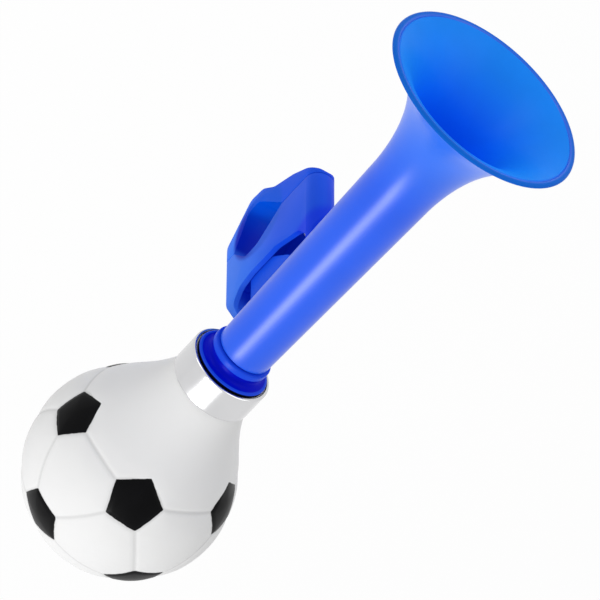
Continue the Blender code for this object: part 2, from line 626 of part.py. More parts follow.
    rim = NUT_FLATS / 2 / math.cos(math.pi / 6)
    corners = [math.pi / 3 * k for k in range(6)]
    extrude(nut, [(rim * math.cos(t), rim * math.sin(t), nut_low) for t in corners], (0, 0, NUT_HEIGHT))
    nut = make("clamp_nut", nut, steel, (CLAMP_SCREW_X, 0, 0))
    nut_bore = make("nut_bore_shape", cylinder(CLAMP_SCREW_X, nut_low - 2, nut_low + NUT_HEIGHT + 2,
                                               CLAMP_SCREW_RADIUS + FIT, 20), cutter=True)
    boolean(nut, nut_bore, 'DIFFERENCE')
    lug_head = head_seat - FIT
    make("lug_screw", revolve([
        (lug_head - LUG_HEAD_HEIGHT, 0), (lug_head - LUG_HEAD_HEIGHT, LUG_HEAD_RADIUS * 0.7),
        (lug_head - LUG_HEAD_HEIGHT * 0.4, LUG_HEAD_RADIUS), (lug_head, LUG_HEAD_RADIUS),
        (lug_head, LUG_SCREW_RADIUS), (lug_head + LUG_SCREW_LENGTH - 1.5, LUG_SCREW_RADIUS),
        (lug_head + LUG_SCREW_LENGTH, 0)], SMALL_TURN, 'Z'), steel, (LUG_SCREW_X, 0, 0), 30)


def main():
    clear_scene()
    blue = material("trumpet_blue", (0.02, 0.09, 0.8), 0.25)
    navy = material("collar_blue", (0.01, 0.03, 0.6), 0.3)
    clamp_blue = material("clamp_blue", (0.015, 0.06, 0.6), 0.35)
    white = material("bulb_white", (0.82, 0.82, 0.82), 0.5)
    chrome = material("chrome", (0.85, 0.85, 0.86), 0.08, 1.0)
    brass = material("brass", (0.78, 0.6, 0.25), 0.3, 1.0)
    zinc = material("zinc_steel", (0.6, 0.61, 0.63), 0.35, 1.0)
    grey = material("plug_grey", (0.1, 0.1, 0.11), 0.6)
    build_bulb(white)
    build_ferrule(chrome)
    build_collar(navy)
    build_reed(grey, brass)
    build_horn(blue)
    build_clamp(clamp_blue, zinc)


main()
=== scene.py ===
"""Looks of a bicycle squeeze horn with a football bulb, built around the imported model.

Lengths are metres, in the model's own frame: +X runs along the horn to the bell, +Y along the
handlebar, and +Z from the handlebar up to the horn.
"""

import math

import bpy
import numpy as np
from bpy.props import FloatProperty, FloatVectorProperty, PointerProperty
from mathutils import Matrix, Vector


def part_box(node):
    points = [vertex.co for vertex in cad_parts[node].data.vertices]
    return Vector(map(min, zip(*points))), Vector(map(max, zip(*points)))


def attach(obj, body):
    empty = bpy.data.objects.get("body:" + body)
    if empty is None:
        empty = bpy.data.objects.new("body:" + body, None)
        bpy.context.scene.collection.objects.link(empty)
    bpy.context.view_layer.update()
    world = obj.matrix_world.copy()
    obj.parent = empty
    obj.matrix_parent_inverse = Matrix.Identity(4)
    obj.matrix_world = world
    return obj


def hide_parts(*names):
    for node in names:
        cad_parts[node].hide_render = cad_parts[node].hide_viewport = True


bl_info = {
    "name": "Squeeze horn",
    "version": (1, 0, 0),
    "blender": (4, 5, 0),
    "location": "3D View > Sidebar > Squeeze horn",
    "description": "Builds the surfaces, finishes and stage of a bicycle squeeze horn",
    "category": "Object",
}

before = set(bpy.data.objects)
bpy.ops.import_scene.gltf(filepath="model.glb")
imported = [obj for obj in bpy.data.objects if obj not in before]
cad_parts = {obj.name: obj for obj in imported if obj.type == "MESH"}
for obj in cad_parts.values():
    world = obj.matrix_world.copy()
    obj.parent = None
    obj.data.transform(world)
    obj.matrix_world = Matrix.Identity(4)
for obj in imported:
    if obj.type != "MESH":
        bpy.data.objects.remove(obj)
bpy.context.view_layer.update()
MM = 0.001
AROUND = 288


def box_of(node):
    """Lowest and highest corner of a model node as numpy arrays."""
    low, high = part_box(node)
    return np.array(low), np.array(high)


BULB_LOW, BULB_HIGH = box_of("ball_bulb")
TUBE_LOW, TUBE_HIGH = box_of("horn_tube")
COLLAR_LOW, COLLAR_HIGH = box_of("reed_socket")
FERRULE_LOW, FERRULE_HIGH = box_of("ferrule")
AXIS_HEIGHT = float(COLLAR_LOW[2] + COLLAR_HIGH[2]) / 2


def size(name, description, value, low=0.0, high=0.5):
    return FloatProperty(name=name, description=description, default=value, min=low, max=high,
                         precision=5, unit='LENGTH')


def colour(name, description, value):
    return FloatVectorProperty(name=name, description=description, default=value, size=3,
                               min=0.0, max=1.0, subtype='COLOR')


def angle(name, description, degrees):
    return FloatProperty(name=name, description=description, default=math.radians(degrees), unit='ROTATION')


class HornBulbSettings(bpy.types.PropertyGroup):
    """Sizes and colours of the squeeze bulb."""
    centre_x: size("Centre", "Place of the ball's centre along the horn", -70.5 * MM, -0.5)
    radius: size("Radius", "Radius of the ball", 31.7 * MM)
    wall: size("Wall", "Wall of the soft shell", 2.0 * MM)
    neck_radius: size("Neck", "Radius of the neck in the ferrule", 12.3 * MM)
    neck_length: size("Neck length", "Length of the neck's straight end", 9.1 * MM)
    tangent: angle("Neck start", "Polar angle at which the neck leaves the ball", 56.0)
    entry: angle("Neck entry", "Slope at which the neck enters the ferrule", 18.0)
    panel_share: FloatProperty(name="Panel share", description="How far a panel corner lies along an "
                               "edge of the icosahedron", default=0.272, min=0.1, max=0.49)
    panel_turn: FloatVectorProperty(name="Panel turn", description="How the panels are turned", size=3,
                                    default=[math.radians(d) for d in (-157.23, -39.71, 53.25)],
                                    subtype='EULER')
    panel_shift: FloatVectorProperty(name="Panel shift", description="How far the pattern's centre lies "
                                     "from the ball's", size=3, unit='LENGTH',
                                     default=(1.42 * MM, 1.18 * MM, -1.03 * MM))
    seam_width: size("Seam width", "Width of the moulded seams", 1.5 * MM)
    seam_depth: size("Seam depth", "Depth of the moulded seams", 0.30 * MM)
    cushion_width: size("Cushion width", "Width of the fall from a cushion's middle to its seam", 4.2 * MM)
    cushion_depth: size("Cushion depth", "How far the cushions fall towards the seams", 0.34 * MM)
    white: colour("White", "Colour of the moulded PVC", (0.72, 0.72, 0.72))
    black: colour("Black", "Colour of the painted panels", (0.0012, 0.0012, 0.0015))


class HornTrumpetSettings(bpy.types.PropertyGroup):
    """Sizes and colours of the trumpet, its collar and the ferrule."""
    root_radius: size("Root radius", "Tube radius at the collar", 8.5 * MM)
    end_radius: size("End radius", "Tube radius where the flare starts", 10.15 * MM)
    tube_length: size("Tube length", "Length of the tapered tube", 75.8 * MM)
    flare_length: size("Flare length", "Length of the flare", 36.7 * MM)
    bell_radius: size("Bell radius", "Radius of the bell's rim", 30.5 * MM)
    wall: size("Wall", "Wall of the trumpet", 1.6 * MM)
    bead: size("Bead", "Radius of the rim's bead", 1.0 * MM)
    tail_radius: size("Tail radius", "Radius of the tail in the collar", 7.1 * MM)
    tail_length: size("Tail length", "Length of the tail", 10.4 * MM)
    tail_bore: size("Tail bore", "Bore of the tail", 5.6 * MM)
    lug_length: size("Lug length", "Length of the lug under the tube", 20.2 * MM)
    lug_x: size("Lug start", "Place of the lug along the horn", -6.2 * MM, -0.5)
    lug_thickness: size("Lug thickness", "Thickness of the lug", 5.2 * MM)
    lug_drop: size("Lug drop", "Distance from the horn's axis to the lug's foot", 24.2 * MM)
    blue: colour("Blue", "Colour of the tube", (0.006, 0.088, 0.70))
    tube_glow: colour("Tube glow", "Light through the tube", (0.0, 0.003, 0.05))
    flare_blue: colour("Flare blue", "Colour of the flare's outside", (0.012, 0.135, 0.73))
    # painted shade: a darker blue deep in the bell's throat
    throat_shade_blue: colour("Throat blue", "Colour of the bell's throat", (0.001, 0.095, 0.62))
    # painted light: a brighter, greener blue inside the bell near its lip
    lip_light_blue: colour("Lip blue", "Colour of the bell's inside near its lip", (0.008, 0.215, 0.66))
    rim_blue: colour("Rim blue", "Colour of the bell's rim", (0.002, 0.120, 0.56))
    bell_glow: colour("Bell glow", "Light through the bell's wall", (0.0, 0.020, 0.24))
    collar_blue: colour("Collar blue", "Colour of the collar's rims", (0.008, 0.062, 0.58))
    # painted shade for the collar's groove
    groove_shade_blue: colour("Deep blue", "Colour of the collar's groove", (0.0, 0.004, 0.40))
    collar_glow: colour("Collar glow", "Light through the collar", (0.0, 0.0, 0.10))
    clamp_blue: colour("Clamp blue", "Colour of the clamp", (0.008, 0.075, 0.62))
    # painted light: a paler blue at the clamp's thin end
    thin_end_light_blue: colour("Thin blue", "Colour of the clamp's thin end", (0.040, 0.170, 0.74))
    # painted shade in the clamp's opening
    opening_shade_blue: colour("Opening blue", "Colour of the clamp's opening", (0.0, 0.075, 0.56))
    shade_blue: colour("Shade blue", "Colour of the opening's rear seat", (0.0, 0.010, 0.34))
    # painted shade under the tube at the clamp's foot
    foot_shade_blue: colour("Foot blue", "Colour of the clamp's foot under the tube", (0.004, 0.038, 0.62))
    clamp_glow: colour("Clamp glow", "Light through the clamp", (0.0, 0.003, 0.07))


class HornStageSettings(bpy.types.PropertyGroup):
    """Camera, lamps and floor."""
    tilt: angle("Axis tilt", "How far the horn's axis leans to the camera", 32.83)
    roll: angle("Axis roll", "How far the horn's axis is turned in the picture", 46.37)
    clamp_turn: angle("Clamp turn", "How far the clamp is turned about the horn's axis", 63.0)
    distance: size("Distance", "Distance from the camera to the ball's centre", 1.3379, 0.1, 10.0)
    aside: FloatVectorProperty(name="Aside", description="Place of the axis's start in the picture",
                               size=2, default=(-0.0489, -0.0493), unit='LENGTH')
    start_x: size("Start", "Point of the horn's axis that the camera is set by", -69.5 * MM, -0.5)
    lens: FloatProperty(name="Lens", description="Focal length in millimetres", default=276.66)
    floor_drop: size("Floor drop", "Distance from the handlebar's centre down to the floor", 0.30, 0.0, 3.0)
    key_power: FloatProperty(name="Key power", description="Power of the large lamp in watts", default=4.5)


class Value:
    """A shader socket on which arithmetic adds Math nodes."""

    def __init__(self, finish, socket):
        self.finish = finish
        self.socket = socket

    def math(self, operation, *others):
        return self.finish.node('ShaderNodeMath', {'operation': operation},
                                {i: v for i, v in enumerate((self, *others))})

    def __add__(self, other):
        return self.math('ADD', other)

    __radd__ = __add__

    def __sub__(self, other):
        return self.math('SUBTRACT', other)

    def __rsub__(self, other):
        return self.finish.node('ShaderNodeMath', {'operation': 'SUBTRACT'}, {0: other, 1: self})

    def __mul__(self, other):
        return self.math('MULTIPLY', other)

    __rmul__ = __mul__

    def ramp(self, low, high, to_low=0.0, to_high=1.0):
        """A smooth step of this value from low to high."""
        return self.finish.node('ShaderNodeMapRange', {'interpolation_type': 'SMOOTHSTEP'},
                                {'Value': self, 'From Min': low, 'From Max': high,
                                 'To Min': to_low, 'To Max': to_high})


class Finish:
    """A node material with one Principled shader."""

    def __init__(self, name, **constants):
        self.material = bpy.data.materials.new(name)
        self.material.use_nodes = True
        self.tree = self.material.node_tree
        self.shader = self.tree.nodes["Principled BSDF"]
        for socket, value in constants.items():
            self.shader.inputs[socket.replace("_", " ")].default_value = value

    def node(self, kind, settings=None, inputs=None, output=0):
        """Adds a node: its settings first, then the values or links of its sockets."""
        made = self.tree.nodes.new(kind)
        for key, value in (settings or {}).items():
            if key == 'stops':
                while len(made.color_ramp.elements) < len(value):
                    made.color_ramp.elements.new(0.5)
                for element, (place, tint) in zip(made.color_ramp.elements, value):
                    element.position = place
                    element.color = (*tint, 1.0)
            else:
                setattr(made, key, value)
        for key, value in (inputs or {}).items():
            self.put(made.inputs[key], value)
        return Value(self, made.outputs[output])

    def put(self, socket, value):
        if isinstance(value, Value):
            self.tree.links.new(value.socket, socket)
        elif isinstance(value, (tuple, list)) and len(socket.default_value) == 4 and len(value) == 3:
            socket.default_value = (*value, 1.0)
        else:
            socket.default_value = value

    def place(self):
        return self.node('ShaderNodeTexCoord', output='Object')

    def axis(self, name):
        return self.node('ShaderNodeSeparateXYZ', {}, {'Vector': self.place()}, output=name)

    def attribute(self, name):
        return self.node('ShaderNodeAttribute', {'attribute_name': name}, output='Fac')

    def noise(self, scale, detail=3.0, roughness=0.5, stretch=(1, 1, 1)):
        where = self.place()
        if stretch != (1, 1, 1):
            where = self.node('ShaderNodeMapping', {}, {'Vector': where, 'Scale': stretch})
        return self.node('ShaderNodeTexNoise', {}, {'Vector': where, 'Scale': scale, 'Detail': detail,
                                                    'Roughness': roughness}, output='Fac')

    def mix(self, factor, first, second):
        """Mixes two colours."""
        made = self.tree.nodes.new('ShaderNodeMix')
        made.data_type = 'RGBA'
        for socket, value in ((made.inputs[0], factor), (made.inputs[6], first), (made.inputs[7], second)):
            self.put(socket, value)
        return Value(self, made.outputs[2])

    def bump(self, height, strength, distance):
        return self.node('ShaderNodeBump', {}, {'Height': height, 'Strength': strength,
                                                'Distance': distance}, output='Normal')

    def set(self, **links):
        for socket, value in links.items():
            self.put(self.shader.inputs[socket.replace("_", " ")], value)
        return self.material


def clouded(f, tint, share=0.10):
    """A colour with a faint cloud in it, as the pigment settles in a moulding."""
    cloud = f.noise(55.0, 3.0)
    return f.mix(cloud, tuple(c * (1 - share) for c in tint), tuple(min(1.0, c * (1 + share)) for c in tint))


def moulded_plastic(name, tint, roughness, glow, gloss, sheen, shading=None):
    """Tinted see-through plastic: pigment clouds, flow marks in the gloss, a fine peel.

    Light that comes through the wall shows as a weak glow of the body colour. The shading may change
    the colour, the glow and the gloss from place to place.
    """
    f = Finish(name, Specular_IOR_Level=sheen, Emission_Strength=1.0, Coat_Roughness=roughness)
    flow = f.noise(30.0, 4.0, 0.6, (0.35, 1.0, 1.0))
    peel = f.noise(900.0, 2.0)
    body = clouded(f, tint)
    light = clouded(f, glow, 0.15)
    coat = flow.ramp(0.2, 0.8, gloss, gloss * 0.8)
    if shading:
        body, light, coat = shading(f, body, light, coat)
    return f.set(Base_Color=body, Roughness=flow.ramp(0.3, 0.7, roughness, roughness + 0.10),
                 Coat_Weight=coat, Emission_Color=light, Normal=f.bump(peel, 0.06, 0.0002))


def bell_shading(s):
    """Other blues on the outside of the flare and on the rim, painted shade in the bell's throat and painted
    light inside near its lip.
    """
    def shading(f, body, light, coat):
        x = f.axis("X")
        lining = f.attribute("lining")
        # painted shade in the throat, fading to painted light near the lip
        inside = f.mix(x.ramp(0.078, 0.101), clouded(f, s.throat_shade_blue), clouded(f, s.lip_light_blue))
        outside = f.mix(x.ramp(0.058, 0.090), body, clouded(f, s.flare_blue))
        rim = f.attribute("rim")
        body = f.mix(rim, f.mix(lining, outside, inside), clouded(f, s.rim_blue))
        return (body, f.mix(lining, light, clouded(f, s.bell_glow, 0.2)),
                coat * (lining + rim).ramp(0.0, 1.0, 1.0, 0.15))
    return shading


def collar_shading(s):
    """Painted shade: deep blue in the collar's groove, and a nearly black painted shadow without glow in the gap
    inside the ferrule's lip.
    """
    def shading(f, body, light, coat):
        groove = f.attribute("groove")
        gap = f.attribute("gap")
        open_part = (groove + gap).ramp(0.0, 1.0, 1.0, 0.1)
        # painted shade in the groove, painted black shadow in the gap
        body = f.mix(gap, f.mix(groove, body, clouded(f, s.groove_shade_blue)), (0.001, 0.001, 0.006))
        return body, f.mix(gap, light, (0.0, 0.0, 0.0)), coat * open_part
    return shading


def clamp_shading(s):
    """Painted light at the thin end behind the handlebar as a paler blue; painted shade deeper in the opening,
    under the tube at the foot and at the far end.
    """
    def shading(f, body, light, coat):
        x, y, z = (f.axis(name) for name in "XYZ")
        # painted light: paler towards the thin end
        flank = f.mix(x.ramp(-0.014, 0.012), clouded(f, s.thin_end_light_blue), body)
        reach = (x * x + z * z).math('POWER', 0.5)
        # painted shade in the opening, deepest at its rear seat
        opening = f.mix(x.ramp(-0.009, -0.001), clouded(f, s.shade_blue), clouded(f, s.opening_shade_blue))
        flank = f.mix(reach.ramp(0.0130, 0.0108), flank, opening)
        # painted shade under the tube and at the far end
        foot = (z + x * 0.5).ramp(0.0280, 0.0350)
        far_end_shade = y.ramp(0.0020, -0.0016) * x.ramp(0.0225, 0.0265) * 0.5
        return f.mix((foot + far_end_shade).ramp(0.0, 1.0), flank, clouded(f, s.foot_shade_blue)), light, coat
    return shading


def printed_vinyl(settings):
    """Soft white PVC with painted five-sided panels and moulded seams with painted shade along them, from the
    skin's own distances.
    """
    f = Finish("bulb_vinyl", Specular_IOR_Level=0.06, Subsurface_Weight=0.08,
               Subsurface_Radius=(1.0, 0.95, 0.9), Subsurface_Scale=0.003)
    wobble = (f.noise(420.0, 2.0) - 0.5) * 0.0005
    ink = (f.attribute("panel_edge") + wobble).ramp(-0.00010, 0.00014)
    seam = f.attribute("seam_edge").ramp(0.00005, 0.00085)
    cloud = f.noise(70.0, 4.0)
    grain = f.noise(1500.0, 2.0)
    white = tuple(settings.white)
    shade = f.mix(cloud, tuple(c * 0.955 for c in white), white)
    # painted shade: the white darkens along the moulded seams
    seam_shaded = f.mix(seam, tuple(c * 0.84 for c in white), shade)
    black = tuple(settings.black)
    worn = f.mix(cloud.ramp(0.35, 0.75), black, tuple(c * 2.2 for c in black))
    return f.set(Base_Color=f.mix(ink, seam_shaded, worn), Roughness=ink * -0.16 + 0.52 + (cloud - 0.5) * 0.08,
                 Normal=f.bump(grain, 0.05, 0.0002))


def chrome_plate():
    """Bright plate over a drawn sleeve: fine hoop lines and a few hazy patches in the gloss."""
    f = Finish("chrome_plate", Metallic=1.0)
    hoops = f.noise(260.0, 3.0, 0.6, (9.0, 0.25, 0.25))
    haze = f.noise(90.0, 3.0)
    return f.set(Base_Color=f.mix(haze, (0.61, 0.61, 0.62), (0.67, 0.67, 0.68)),
                 Roughness=haze.ramp(0.35, 0.75, 0.17, 0.24) + hoops * 0.03,
                 Normal=f.bump(hoops, 0.05, 0.0001))


def metal(name, tint, roughness):
    """Plated or rolled small metal parts with a fine grain."""
    f = Finish(name, Metallic=1.0)
    grain = f.noise(1400.0, 3.0)
    patina = f.noise(260.0, 3.0)
    return f.set(Base_Color=f.mix(patina, tuple(c * 0.82 for c in tint), tint),
                 Roughness=patina.ramp(0.3, 0.7, roughness - 0.06, roughness + 0.10),
                 Normal=f.bump(grain, 0.10, 0.0001))


def rubber():
    """Dark matt rubber of the reed's plug."""
    f = Finish("plug_rubber", Specular_IOR_Level=0.4)
    grain = f.noise(1100.0, 3.0)
    return f.set(Base_Color=f.mix(grain, (0.02, 0.02, 0.022), (0.035, 0.035, 0.036)),
                 Roughness=grain.ramp(0.3, 0.7, 0.55, 0.75), Normal=f.bump(grain, 0.15, 0.0002))


def mesh_from(name, vertices, faces, material, attributes=None, crease=None):
    """Makes an object at the origin from arrays, with its faces turned outwards."""
    triangles = np.concatenate([faces[:, [0, 1, 2]], faces[:, [0, 2, 3]]])
    a, b, c = (vertices[triangles[:, k]] for k in range(3))
    if np.einsum('ij,ij->i', a, np.cross(b, c)).sum() < 0:
        faces = faces[:, ::-1]
    keep = [tuple(dict.fromkeys(f)) for f in faces.tolist()]
    me = bpy.data.meshes.new(name)
    me.from_pydata(vertices.tolist(), [], keep)
    for key, values in (attributes or {}).items():
        layer = me.attributes.new(key, 'FLOAT', 'POINT')
        layer.data.foreach_set('value', values.astype(np.float32))
    me.shade_smooth()
    if crease:
        me.set_sharp_from_angle(angle=math.radians(crease))
    me.materials.append(material)
    me.validate()
    ob = bpy.data.objects.new(name, me)
    bpy.context.scene.collection.objects.link(ob)
    return ob


def skin(name, points, material, ring=False, attributes=None, crease=None):
    """A closed surface from a grid of points, rows by columns.

    Columns wrap round. Rows wrap too on a ring, and otherwise the first and the last row are poles,
    each drawn together into one point.
    """
    rows, columns = points.shape[:2]
    index = np.arange(rows * columns).reshape(rows, columns)
    if not ring:
        index[0] = index[0, 0]
        index[-1] = index[-1, 0]
    else:
        index = np.vstack([index, index[:1]])
    right = np.roll(index, -1, axis=1)
    faces = np.stack([index[:-1], right[:-1], right[1:], index[1:]], -1).reshape(-1, 4)
    used, back = np.unique(faces, return_inverse=True)
    kept = {k: v.reshape(-1)[used] for k, v in (attributes or {}).items()}
    return mesh_from(name, points.reshape(-1, 3)[used], back.reshape(-1, 4), material, kept, crease)


def turned(name, profile, material, ring=True, crease=35, fields=None):
    """A profile turned about the horn's axis: P(u, v) = (x(v), r(v) cos u, axis + r(v) sin u)."""
    u = np.linspace(0, 2 * math.pi, AROUND, endpoint=False)
    x, r = np.asarray(profile).T
    grid = np.stack([np.broadcast_to(x[:, None], (len(x), AROUND)), r[:, None] * np.cos(u),
                     AXIS_HEIGHT + r[:, None] * np.sin(u)], -1)
    spread = {k: np.repeat(v[:, None], AROUND, 1) for k, v in (fields or {}).items()}
    return skin(name, grid, material, ring=ring, attributes=spread, crease=crease)


def line(a, b, count):
    """Evenly spaced points from a towards b, b left out."""
    t = np.linspace(0, 1, count, endpoint=False)[:, None]
    return np.asarray(a) * (1 - t) + np.asarray(b) * t


def arc(centre, radius, start, end, count):
    """Points on an arc of a circle, from one angle in degrees to another."""
    t = np.radians(np.linspace(start, end, count))
    return np.stack([centre[0] + radius * np.cos(t), centre[1] + radius * np.sin(t)], -1)


def bezier(p0, p1, p2, p3, count):
    """Cubic curve through p0 and p3, led by p1 and p2."""
    t = np.linspace(0, 1, count)[:, None]
    p0, p1, p2, p3 = (np.asarray(p, float) for p in (p0, p1, p2, p3))
    return (1 - t) ** 3 * p0 + 3 * (1 - t) ** 2 * t * p1 + 3 * (1 - t) * t * t * p2 + t ** 3 * p3


def beside(points, distance):
    """A line moved sideways along its own normals."""
    step = np.gradient(points, axis=0)
    step /= np.linalg.norm(step, axis=1)[:, None]
    return points + np.stack([step[:, 1], -step[:, 0]], -1) * distance


def neck_line(s):
    """The bulb's outline from the ball to the neck's end, as (x, r)."""
    start = np.array([s.centre_x + s.radius * math.cos(s.tangent), s.radius * math.sin(s.tangent)])
    end_x = float(BULB_HIGH[0])
    entry = np.array([end_x - s.neck_length, s.neck_radius])
    reach = float(np.hypot(*(entry - start))) * 0.36
    lead = start + reach * np.array([math.sin(s.tangent), -math.cos(s.tangent)])
    come = entry + reach * np.array([-math.cos(s.entry), math.sin(s.entry)])
    return np.vstack([bezier(start, lead, come, entry, 40), line(entry, (end_x, s.neck_radius), 6)[1:],
                      [(end_x, s.neck_radius)]])


def panel_fields(directions, s):
    """Distances on the ball to the painted panels' edge and to the nearest seam, for unit directions.

    A five-sided panel surrounds each corner of an icosahedron. Its edges are great circles through
    points a set share along the icosahedron's edges. Inside it the first distance is positive. The
    other seams run along the icosahedron's edges between two such panels.
    """
    g = (1 + 5 ** 0.5) / 2
    ico = np.array([v for a in (1, -1) for b in (1, -1) for v in ((0, a, b * g), (a, b * g, 0), (b * g, 0, a))])
    ico = ico / np.linalg.norm(ico[0]) @ np.array(s.panel_turn.to_matrix()).T
    gap = np.linalg.norm(ico[:, None] - ico[None], axis=2)
    near = (gap > 0.1) & (gap < gap[gap > 0.1].min() * 1.05)
    normals = []
    for i in range(12):
        links = np.nonzero(near[i])[0]
        corners = ico[i] * (1 - s.panel_share) + ico[links] * s.panel_share
        side = corners[0] - ico[i] * (corners[0] @ ico[i])
        up = np.cross(ico[i], side)
        order = np.argsort(np.arctan2(corners @ up, corners @ side))
        ring = corners[order]
        n = np.cross(ring, np.roll(ring, -1, axis=0))
        normals.append(n / np.linalg.norm(n, axis=1)[:, None])
    normals = np.array(normals)
    owner = (directions @ ico.T).argmax(1)
    inside = np.arcsin(np.clip(np.einsum('nk,nek->ne', directions, normals[owner]), -1, 1)).min(1)
    pairs = np.argwhere(np.triu(near))
    plane = np.cross(ico[pairs[:, 0]], ico[pairs[:, 1]])
    plane /= np.linalg.norm(plane, axis=1)[:, None]
    middle = ico[pairs[:, 0]] + ico[pairs[:, 1]]
    middle /= np.linalg.norm(middle, axis=1)[:, None]
    half = math.cos(math.asin(gap[near].min() / 2))
    reach = directions @ middle.T > half * 0.995
    across = np.where(reach, np.arcsin(np.abs(directions @ plane.T)), 9.0).min(1)
    across = np.where(inside > 0, 9.0, across)
    return inside * s.radius, np.minimum(np.abs(inside), across) * s.radius


def football_skin(s, material):
    """The bulb's shell: a ball, its neck and its inner wall.

    P(a, u) is the ball's centre plus rho(a) times the direction at polar angle a from the horn's axis
    and turn u about it. rho is the ball's radius, and the neck line's distance near the axis. Seams
    and the cushions beside them sink it by two bell curves of the distance to the nearest panel edge,
    which fade out on the neck.
    """
    neck = neck_line(s)
    polar = np.arctan2(neck[:, 1], neck[:, 0] - s.centre_x)
    reach = np.hypot(neck[:, 0] - s.centre_x, neck[:, 1])
    a = np.concatenate([np.linspace(math.pi, s.tangent, 170, endpoint=False),
                        np.linspace(s.tangent, polar[-1], 76)])
    u = np.linspace(0, 2 * math.pi, 350, endpoint=False)
    rho = np.where(a > s.tangent, s.radius, np.interp(a, polar[::-1], reach[::-1]))
    way = np.stack([np.broadcast_to(np.cos(a)[:, None], (len(a), len(u))), np.sin(a)[:, None] * np.cos(u),
                    np.sin(a)[:, None] * np.sin(u)], -1)
    seen = way.reshape(-1, 3) * s.radius - np.array(s.panel_shift)
    inside, seam = panel_fields(seen / np.linalg.norm(seen, axis=1)[:, None], s)
    fade = np.clip((a - math.radians(40)) / math.radians(16), 0, 1)
    fade = (fade * fade * (3 - 2 * fade))[:, None]
    inside = np.where(fade > 0.02, inside.reshape(way.shape[:2]), -0.01)
    seam = seam.reshape(way.shape[:2]) + (1 - fade) * 0.004
    sink = (s.seam_depth * np.exp(-(seam / (s.seam_width / 2)) ** 2)
            + s.cushion_depth * np.exp(-(seam / s.cushion_width) ** 2) * fade)
    outer = way * (rho[:, None] - sink)[..., None]
    outer[..., 0] += s.centre_x
    inner_line = np.vstack([beside(neck, s.wall)[::-4][1:], arc((s.centre_x, 0), s.radius - s.wall,
                            math.degrees(s.tangent) + 4, 180, 18)])
    end = np.array([[neck[-1, 0], s.neck_radius - s.wall]])
    inner_line = np.vstack([end, inner_line])
    inner_line[:, 1] = np.maximum(inner_line[:, 1], 0.0)
    inner = np.stack([np.broadcast_to(inner_line[:, :1], (len(inner_line), len(u))),
                      inner_line[:, 1:] * np.cos(u), inner_line[:, 1:] * np.sin(u)], -1)
    grid = np.concatenate([outer, inner])
    grid[..., 2] += AXIS_HEIGHT
    blank = np.ones(inner.shape[:2])
    fields = {"panel_edge": np.concatenate([inside, blank * -0.01]),
              "seam_edge": np.concatenate([seam, blank * 0.01])}
    return skin("football_skin", grid, material, attributes=fields, crease=50)


def trumpet_lines(s):
    """Outer line of the tube and flare as (x, r), and the tail's two ends."""
    start = float(COLLAR_HIGH[0]) + 0.3 * MM
    flare = start + s.tube_length
    bell = flare + s.flare_length
    outer = np.vstack([line((start, s.root_radius), (flare, s.end_radius), 24),
                       bezier((flare, s.end_radius), (flare + 21 * MM, s.end_radius + 1.1 * MM),
                              (bell - 4.4 * MM, s.bell_radius - 10.5 * MM), (bell, s.bell_radius), 72)])
    return outer, start, bell


def trumpet_skin(s, material):
    """The trumpet turned from one closed line: tail, shoulder, tube, flare, beaded rim and bore."""
    outer, start, bell = trumpet_lines(s)
    tail = float(COLLAR_HIGH[0]) - s.tail_length
    bead = arc((bell, s.bell_radius - s.bead + 0.25 * MM), s.bead, 82, -60, 14)
    inner = beside(outer, s.wall)[::-1]
    inner = inner[(inner[:, 0] > start + 4 * MM) & (inner[:, 1] < bead[-1, 1])]
    profile = np.vstack([
        line((tail, s.tail_bore), (tail, s.tail_radius - 0.5 * MM), 3),
        arc((tail + 0.5 * MM, s.tail_radius - 0.5 * MM), 0.5 * MM, 180, 90, 5),
        line((tail + 0.6 * MM, s.tail_radius), (start, s.tail_radius), 6),
        line((start, s.tail_radius), (start, s.root_radius - 0.25 * MM), 3),
        arc((start + 0.25 * MM, s.root_radius - 0.25 * MM), 0.25 * MM, 180, 90, 4),
        outer[1:-2], bead, inner,
        [(start + 3 * MM, s.root_radius - s.wall), (start + 1.5 * MM, s.tail_bore)],
        line((start + 1.4 * MM, s.tail_bore), (tail, s.tail_bore), 6)])
    rows = np.arange(len(profile))
    within = rows >= len(profile) - len(inner) - 8
    lining = np.where(within, np.clip((profile[:, 0] - 0.06) / 0.02, 0, 1), 0.0)
    rim = np.clip((profile[:, 1] - s.bell_radius + 1.6 * MM) / (0.9 * MM), 0, 1)
    return turned("trumpet", profile, material, fields={"lining": lining, "rim": rim})


def rounded_outline(corners, steps=8):
    """A closed outline through corners (x, z, radius), each turned by an arc."""
    points = np.array([c[:2] for c in corners], float)
    pieces = []
    for k, corner in enumerate(corners):
        p = points[k]
        a = points[k - 1] - p
        b = points[(k + 1) % len(points)] - p
        reach = min(np.linalg.norm(a), np.linalg.norm(b)) * 0.49
        a, b = a / np.linalg.norm(a), b / np.linalg.norm(b)
        half = math.acos(float(np.clip(a @ b, -1, 1))) / 2
        cut = min(corner[2] / math.tan(half), reach)
        t = np.linspace(0, 1, steps)[:, None]
        pieces.append((1 - t) ** 2 * (p + a * cut) + 2 * t * (1 - t) * p + t * t * (p + b * cut))
    return np.vstack(pieces)


def slab(name, outline, thickness, soften, material):
    """A flat plate with rounded edges: P(u, v) = middle + k(v) (outline(u) - middle) at y(v).

    k grows from nothing at the middle of one face to one at the rim and back, and y turns through a
    quarter circle at each edge.
    """
    middle = outline.mean(0)
    size_of = np.abs(outline - middle).max()
    half = thickness / 2
    t = np.radians(np.linspace(0, 90, 7))
    k = np.concatenate([[0.0, 0.4, 0.8], 1 - soften / size_of * (1 - np.sin(t))])
    y = np.concatenate([[half] * 3, half - soften * (1 - np.cos(t))])
    k = np.concatenate([k, k[::-1]])
    y = np.concatenate([y, -y[::-1]])
    spread = middle + k[:, None, None] * (outline - middle)[None]
    grid = np.stack([spread[..., 0], np.broadcast_to(y[:, None], spread.shape[:2]), spread[..., 1]], -1)
    return skin(name, grid, material, crease=50)


